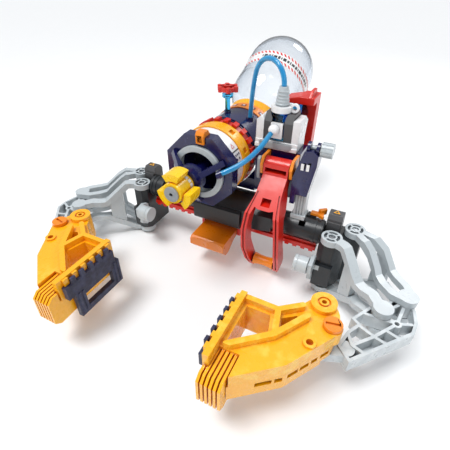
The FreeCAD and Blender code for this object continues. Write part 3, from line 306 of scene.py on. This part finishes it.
def rubber(name, colour, worn):
    """Matt rubber, rubbed pale in patches and along its edges."""
    s = Shader(name)
    base = s.mix(s.spread(s.noise(160, 4), 0.4, 0.7, 0, 0.6), colour, worn)
    s.link(s.mix(s.edge(0.54, 0.66), base, worn), s.bsdf.inputs["Base Color"])
    s.link(s.spread(s.noise(400, 4), *NOISE_SPAN, 0.5, 0.72), s.bsdf.inputs["Roughness"])
    s.bump(s.noise(1500, 3), 0.25, 0.00015)
    s.set(Sheen_Weight=0.15)
    return s.material


# Name, colour, painted shade colour for recesses, edge colour for wear and painted highlight,
# roughness, coat, and where given grain and metal.
MOULDED = [
    ("yellow", (251, 178, 14), (214, 88, 4), (255, 232, 110), 0.26, 0.35),
    ("petal_yellow", (253, 206, 20), (228, 120, 4), (255, 240, 130), 0.26, 0.35),
    ("orange", (240, 136, 12), (178, 66, 4), (252, 186, 84), 0.3, 0.3),
    ("trigger_orange", (222, 120, 10), (150, 62, 6), (250, 178, 86), 0.3, 0.4, 0.12),
    ("red", (216, 30, 12), (110, 6, 4), (232, 70, 44), 0.32, 0.2),
    ("deep_red", (120, 12, 10), (60, 4, 4), (190, 60, 50), 0.3, 0.3),
    ("navy", (14, 17, 74), (3, 3, 20), (70, 80, 150), 0.2, 0.4, 0.04),
    ("black_satin", (34, 38, 42), (8, 8, 10), (96, 104, 110), 0.36, 0.1, 0.18),
    ("pale_grey", (188, 196, 200), (70, 78, 84), (236, 240, 242), 0.3, 0.25),
    ("mid_grey", (150, 156, 160), (66, 70, 76), (212, 216, 218), 0.34, 0.15),
    ("dark_grey", (74, 74, 76), (24, 24, 26), (150, 150, 150), 0.38, 0.1, 0.15),
    ("white", (238, 239, 240), (132, 134, 142), (252, 252, 252), 0.28, 0.3),
    ("pin_steel", (168, 172, 176), (60, 62, 66), (226, 228, 230), 0.24, 0.0, 0.05, 0.9),
]
MATERIALS = {row[0]: moulded(row[0], *(srgb(*c) for c in row[1:4]), *row[4:]) for row in MOULDED}
MATERIALS["clear"] = clear("clear_shell", (0.97, 0.985, 1.0, 1.0))
MATERIALS["cyan_clear"] = clear("cyan_shell", srgb(60, 176, 226), 0.05)
MATERIALS["hose"] = hose_material("hose_blue")
MATERIALS["pad_rubber"] = rubber("pad_rubber", srgb(20, 22, 52), srgb(62, 66, 100))


# ---------------------------------------------------------------- pieces

WELD_REACH, FLAT_ANGLE = 1e-6, 0.01     # metres and radians
EDGE_ANGLE, EDGE_SEGMENTS = math.radians(35.0), 2


def soften(obj, bevel):
    """Rounds the edges of a mesh object with modifiers and smooths its shading."""
    weld = obj.modifiers.new("weld", "WELD")
    weld.merge_threshold = WELD_REACH
    flat = obj.modifiers.new("flat", "DECIMATE")
    flat.decimate_type, flat.angle_limit = "DISSOLVE", FLAT_ANGLE
    if bevel:
        rounded = obj.modifiers.new("rounded", "BEVEL")
        rounded.width, rounded.segments = bevel * MM, EDGE_SEGMENTS
        rounded.limit_method, rounded.angle_limit = "ANGLE", EDGE_ANGLE
        rounded.use_clamp_overlap = True
    obj.modifiers.new("shading", "WEIGHTED_NORMAL")


def dress(name, material, bevel):
    """Gives a CAD node its material and rounded edges."""
    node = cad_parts[name]
    node.data.materials.clear()
    node.data.materials.append(MATERIALS[material])
    soften(node, bevel)


def both(*names):
    """These names on the right side, then on the left."""
    return [side + "_" + name for side, _ in SIDES for name in names]


# Material, edge radius in millimetres, and the CAD nodes that take them.
LOOKS = [
    ("yellow", 0.4, both("finger_upper", "finger_lower") + ["yellow_band", "tank_collar"]),
    ("petal_yellow", 0.5, ["nozzle_petals"]),
    ("orange", 0.35, both("lock_pin") +
     ["lever_roller", "lever_bracket", "cap_ring", "top_clip", "latch"]),
    ("trigger_orange", 0.9, ["trigger"]),
    ("red", 0.5, ["lever", "beam_rail", "selector_ring", "valve_wheel", "rear_bracket"]),
    ("navy", 0.4, ["barrel_housing", "nozzle_spider", "rear_band", "mast_bracket", "saddle"]),
    ("black_satin", 0.4, ["handle_shell", "beam_tube", "end_blocks"]),
    ("dark_grey", 0.5, ["end_caps", "pump_cheeks"]),
    ("pale_grey", 0.4, both("front_link", "rear_link", "forearm", "stop_knob") +
     ["front_ring", "mast_post", "mast_knob", "hose_cone", "stop_yokes"]),
    ("mid_grey", 0.3, ["nozzle_tip"]),
    ("white", 0.35, ["white_band", "pump_base", "pump_cap", "ball_fitting"]),
    ("pin_steel", 0.3, ["shoulder_pins", "pump_rod"] + both("elbow_pins")),
    ("pad_rubber", 0.3, both("grip_pad")),
    ("cyan_clear", 0.3, ["pump_cylinder", "accumulator", "valve_post"]),
    ("clear", 0.0, ["tank"]),
]


def dress_nodes():
    for material, bevel, names in LOOKS:
        for name in names:
            dress(name, material, bevel)


# ---------------------------------------------------------------- hoses

HOSE_RADIUS = 2.25
PUMP_AXIS = (36.5, 22.0)
CONE_TOP, HOSE_ENTRY = 118.0, 3.5
ARCH_BEARING = math.radians(152.1)
# Each run in millimetres and the turn in degrees after it.
ARCH_MOVES = [(5.0, 15)] * 11 + [(8.5, 6), (12.0, 4), (14.0, 2.5), (10.5, 0)]


def arch_route(start, bearing, moves):
    """Points of a flat arch: runs, each followed by a turn from upright towards the bearing."""
    points, along, height, lean = [start], 0.0, start[2], 0.0
    for run, turn in moves:
        along += run * math.sin(math.radians(lean))
        height += run * math.cos(math.radians(lean))
        points.append((start[0] + along * math.cos(bearing),
                       start[1] + along * math.sin(bearing), height))
        lean += turn
    return points


UPPER_HOSE = arch_route((*PUMP_AXIS, CONE_TOP - HOSE_ENTRY), ARCH_BEARING, ARCH_MOVES)
LOWER_HOSE = [(33.9, 6.0, 81.9), (32.3, -5.0, 76.9), (29.0, -16.0, 71.4),
              (23.6, -26.0, 66.2), (16.5, -33.5, 61.8), (9.0, -38.5, 58.0)]


def add_hose(name, node, route):
    """A hose of this length along the route, in place of its CAD node."""
    data = bpy.data.curves.new(name, "CURVE")
    data.dimensions, data.bevel_depth, data.bevel_resolution = "3D", HOSE_RADIUS * MM, 6
    data.resolution_u, data.use_fill_caps = 12, True
    spline = data.splines.new("NURBS")
    spline.points.add(len(route) - 1)
    for point, place in zip(spline.points, route):
        point.co = (*(v * MM for v in place), 1.0)
    spline.order_u = 3
    spline.use_endpoint_u = True
    hose = bpy.data.objects.new(name, data)
    data.materials.append(MATERIALS["hose"])
    scene.collection.objects.link(hose)
    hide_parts(node)
    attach(hose, "launcher")


# ---------------------------------------------------------------- added pieces

def piece(name, body, material, shape, bevel=0.0):
    """A mesh piece from (points in millimetres, faces), riding on a body."""
    points, faces = shape
    mesh = bpy.data.meshes.new(name)
    mesh.from_pydata([tuple(v * MM for v in point) for point in points], [], faces)
    work = bmesh.new()
    work.from_mesh(mesh)
    bmesh.ops.remove_doubles(work, verts=work.verts, dist=1e-7)
    bmesh.ops.recalc_face_normals(work, faces=work.faces)
    for face in work.faces:
        face.smooth = True
    work.to_mesh(mesh)
    work.free()
    mesh.materials.append(MATERIALS[material])
    obj = bpy.data.objects.new(name, mesh)
    scene.collection.objects.link(obj)
    soften(obj, bevel)
    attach(obj, body)


def lathe(base, axis, profile, steps=40):
    """Rings of (radius, height) round an axis. A radius may be a function of the angle."""
    axis = Vector(axis).normalized()
    across = axis.orthogonal().normalized()
    up = axis.cross(across)
    points, faces = [], []
    for radius, height in profile:
        for k in range(steps):
            t = 2 * math.pi * k / steps
            reach = radius(t) if callable(radius) else radius
            turned = across * math.cos(t) + up * math.sin(t)
            points.append(Vector(base) + axis * height + turned * reach)
    for i in range(len(profile) - 1):
        for k in range(steps):
            j = (k + 1) % steps
            faces.append((i * steps + k, i * steps + j, (i + 1) * steps + j, (i + 1) * steps + k))
    return points, faces


def cross_recess(arm, width):
    """Radius of a cross with this arm length and half width, as a function of the angle."""
    def radius(t):
        c, s = max(abs(math.cos(t)), 1e-6), max(abs(math.sin(t)), 1e-6)
        return max(min(arm / c, width / s), min(width / c, arm / s))
    return radius


def add_screw(name, body, at, axis, radius=2.2):
    """A domed cross-head screw."""
    cross = cross_recess(radius * 0.62, radius * 0.17)
    profile = [(0.0, 0.0), (radius, 0.0), (radius, 0.5), (radius * 0.82, 0.95),
               (cross, 1.05), (cross, 0.35), (0.0, 0.2)]
    piece(name, body, "pin_steel", lathe(at, axis, profile, 48))


def prism_faces(n):
    """Faces between two rings of n corners, with both ends closed."""
    sides = [(i, (i + 1) % n, n + (i + 1) % n, n + i) for i in range(n)]
    return [tuple(range(n)), tuple(range(2 * n - 1, n - 1, -1))] + sides


def slab(corners, lift):
    """A flat plate on a polygon's corners, raised along lift."""
    points = [Vector(c) for c in corners] + [Vector(c) + Vector(lift) for c in corners]
    return points, prism_faces(len(corners))


def merge(shapes):
    """Several shapes as one."""
    points, faces = [], []
    for some_points, some_faces in shapes:
        faces += [tuple(i + len(points) for i in face) for face in some_faces]
        points += some_points
    return points, faces


BARREL = (-17.5, 0.0, 50.0)
# Drums that marks lie on: a point of the axis, its tilt about X, and the radius.
WHITE_DRUM, CAP_DRUM, COLLAR_DRUM = (BARREL, 0.0, 32.0), (BARREL, 0.0, 32.8), (BARREL, 0.0, 8.8)
BOTTLE_DRUM = ((-17.5, 78.0, 47.0), math.radians(27.4), 40.6)
DECAL_FOOT, DECAL_TOP = 0.01, 0.2


def on_drum(drum, along, around, height):
    """A point on a drum: along its axis, around it in arc from +X, and above its skin."""
    origin, tilt, radius = drum
    angle = around / radius
    local = Vector(((radius + height) * math.cos(angle), along, (radius + height) * math.sin(angle)))
    return Vector(origin) + Matrix.Rotation(tilt, 3, "X") @ local


def decal(drum, shapes, top=DECAL_TOP):
    """Thin raised polygons of (along, around) points on a drum."""
    made = []
    for shape in shapes:
        points = [on_drum(drum, a, r, h) for h in (DECAL_FOOT, top) for a, r in shape]
        made.append((points, prism_faces(len(shape))))
    return merge(made)


def patch(low, high, start, end):
    """A rectangle from low to high along a drum and from start to end around it."""
    return [(low, start), (high, start), (high, end), (low, end)]


def strip(low, high, start, end, step=2.0):
    """A long patch as short quads, so that it follows the drum."""
    count = max(1, round((end - start) / step))
    edges = [start + (end - start) * i / count for i in range(count + 1)]
    return [patch(low, high, a, b) for a, b in zip(edges, edges[1:])]


def triangle_frame(along, around, size, width):
    """A triangle's outline as three bars."""
    turns = [math.radians(90 + 120 * i) for i in range(3)]
    outer, inner = ([(along + r * math.cos(t), around + r * math.sin(t)) for t in turns]
                    for r in (size, size - width))
    return [[outer[i], outer[(i + 1) % 3], inner[(i + 1) % 3], inner[i]] for i in range(3)]


def arc(drum, degrees):
    """Millimetres around a drum's skin."""
    return math.radians(degrees) * drum[2]


LABEL_LOW, LABEL_HIGH, LABEL_MIDDLE = 69.5, 86.5, 78
LABEL_FROM, LABEL_TO = -16, 138         # degrees
LABEL_THICK = 0.12
STRIPE_PITCH, STRIPE_WIDTH, STRIPE_SLANT = 4.6, 2.2, 2.4


def add_bottle_label():
    """A white band with slanted red dashes and dark bars, in place of the printed words."""
    start, end = arc(BOTTLE_DRUM, LABEL_FROM), arc(BOTTLE_DRUM, LABEL_TO)
    band = decal(BOTTLE_DRUM, strip(LABEL_LOW, LABEL_HIGH, start, end), LABEL_THICK)
    piece("bottle_label", "bottle", "white", band)
    stripes = []
    for low, high in ((70.2, 73.6), (82.4, 85.8)):
        around = start + 1.5
        while around < end - 5.0:
            stripes.append([(low, around), (high, around + STRIPE_SLANT),
                            (high, around + STRIPE_PITCH), (low, around + STRIPE_WIDTH)])
            around += STRIPE_PITCH
    piece("bottle_label_stripes", "bottle", "red", decal(BOTTLE_DRUM, stripes))
    bars, around = [], start + 16.0
    for i in range(19):
        width, tall = 1.2 + 1.3 * ((i * 7) % 3), 1.6 + 0.5 * ((i * 5) % 2)
        bars.append(patch(LABEL_MIDDLE - tall, LABEL_MIDDLE + tall, around, around + width))
        around += width + 1.2
    piece("bottle_label_bars", "bottle", "black_satin", decal(BOTTLE_DRUM, bars))


BAND_LOW, BAND_HIGH = -19.4, -6.6
BAND_DOTS = ((-15.5, 26), (-12.6, 26), (-9.8, 26), (-15.5, 19), (-11.0, 19))
DOT_LONG, DOT_DEGREES = 1.6, 3.2


def add_band_marks():
    """Generic marks on the white band: an empty triangle, two lines, dots and dashes."""
    def around(degrees):
        return arc(WHITE_DRUM, degrees)

    sign = triangle_frame(-12.6, around(42), 2.9, 0.9)
    piece("band_sign", "launcher", "red", decal(WHITE_DRUM, sign))
    lines = [part for a, b in ((33.2, 35.2), (6, 7.5))
             for part in strip(BAND_LOW, BAND_HIGH, around(a), around(b))]
    dots = [patch(y, y + DOT_LONG, around(a), around(a + DOT_DEGREES)) for y, a in BAND_DOTS]
    piece("band_lines", "launcher", "black_satin", decal(WHITE_DRUM, lines))
    piece("band_dots", "launcher", "navy", decal(WHITE_DRUM, dots))
    dashes = [patch(-18.6, -17.4, around(a), around(a + 4)) for a in range(-30, 0, 6)]
    piece("band_dashes", "launcher", "red", decal(WHITE_DRUM, dashes))


CAP_MARKS, CAP_MIDDLE, CAP_CENTRE_TOP = 20, 63, 0.32


def add_cap_marks():
    """A ring of dark red squares with white centres."""
    outer, inner = [], []
    for i in range(CAP_MARKS):
        turn = arc(CAP_DRUM, 360.0 * i / CAP_MARKS)
        for made, half in ((outer, 2.6), (inner, 1.1)):
            made.append(patch(CAP_MIDDLE - half, CAP_MIDDLE + half, turn - half, turn + half))
    piece("cap_marks", "launcher", "deep_red", decal(CAP_DRUM, outer))
    piece("cap_mark_centres", "launcher", "white",
          decal(CAP_DRUM, inner, CAP_CENTRE_TOP))


NOZZLE_BLOCK_TOP = 0.45


def add_nozzle_marks():
    """White blocks round the nozzle's collar."""
    blocks = [patch(-59.4, -56.2, arc(COLLAR_DRUM, a), arc(COLLAR_DRUM, a + 17))
              for a in range(-60, 100, 23)]
    piece("nozzle_blocks", "nozzle", "white",
          decal(COLLAR_DRUM, blocks, NOZZLE_BLOCK_TOP), 0.1)


def add_end_badges():
    """A yellow triangle with a dark one inside it, on each end cap."""
    for side, sign in SIDES:
        corners = [(sign * 99.6, 6.9, 19.3), (sign * 105.9, 6.9, 19.3), (sign * 102.7, 12.4, 19.3)]
        middle = (sign * 102.7, 8.8)
        inner = [(middle[0] + 0.5 * (x - middle[0]), middle[1] + 0.5 * (y - middle[1]), 19.42)
                 for x, y, _ in corners]
        piece(side + "_end_badge", "launcher", "yellow",
              slab(corners, (0, 0, 0.15)), 0.05)
        piece(side + "_end_badge_mark", "launcher", "black_satin",
              slab(inner, (0, 0, 0.1)))


def add_hinge_arm():
    """Short grey arm on the left end of the lever's hinge rod."""
    outline = [(-5.0, 62.0), (-2.0, 63.5), (2.0, 62.0), (2.5, 46.0),
               (0.5, 41.5), (-3.5, 42.0), (-4.6, 46.0)]
    plate = [(27.2, y, z) for y, z in outline]
    piece("hinge_arm", "launcher", "mid_grey", slab(plate, (3.2, 0, 0)), 0.5)
    piece("hinge_arm_boss", "launcher", "orange",
          lathe((26.6, 0, 57), X, [(0, 0), (2.4, 0), (2.4, 4.2), (0, 4.2)]), 0.25)


def add_mast_slots():
    """Two pale inlays on the mast bracket's front face."""
    for i, x in enumerate((67.0, 71.6)):
        corners = [(x, -6.0, 60.5), (x + 2.6, -6.0, 60.5),
                   (x + 2.6, -6.0, 66.5), (x, -6.0, 66.5)]
        piece("mast_inlay_%d" % i, "launcher", "white",
              slab(corners, (0, -0.5, 0)), 0.15)


def add_pump_front():
    """A thin plate on the front of the pump's tray."""
    outline = [(24.0, 66.8), (50.0, 66.8), (52.0, 69.0), (52.0, 72.4), (22.0, 72.4), (22.0, 69.0)]
    corners = [(x, 10.6, z) for x, z in outline]
    piece("pump_front_plate", "launcher", "mid_grey",
          slab(corners, (0, -0.7, 0)), 0.25)


def add_screws():
    """Screws on the rear bracket and under the end blocks."""
    for i, z in enumerate((54.0, 92.0)):
        add_screw("bracket_screw_%d" % i, "launcher", (51.0, 70.0, z), Y)
    for side, sign in SIDES:
        for i, at in enumerate(((sign * 110.0, 12.0, -49.6), (sign * 102.0, 3.0, -49.6))):
            add_screw("%s_block_screw_%d" % (side, i), "launcher", at, -Z)


# ---------------------------------------------------------------- building

add_camera()
add_world()
add_sun()
for lamp_settings in LAMPS:
    add_light(*lamp_settings)
add_hose("upper_hose_tube", "upper_hose", UPPER_HOSE)
add_hose("lower_hose_tube", "lower_hose", LOWER_HOSE)
dress_nodes()
add_bottle_label()
add_band_marks()
add_cap_marks()
add_nozzle_marks()
add_end_badges()
add_hinge_arm()
add_mast_slots()
add_pump_front()
add_screws()
add_floor()
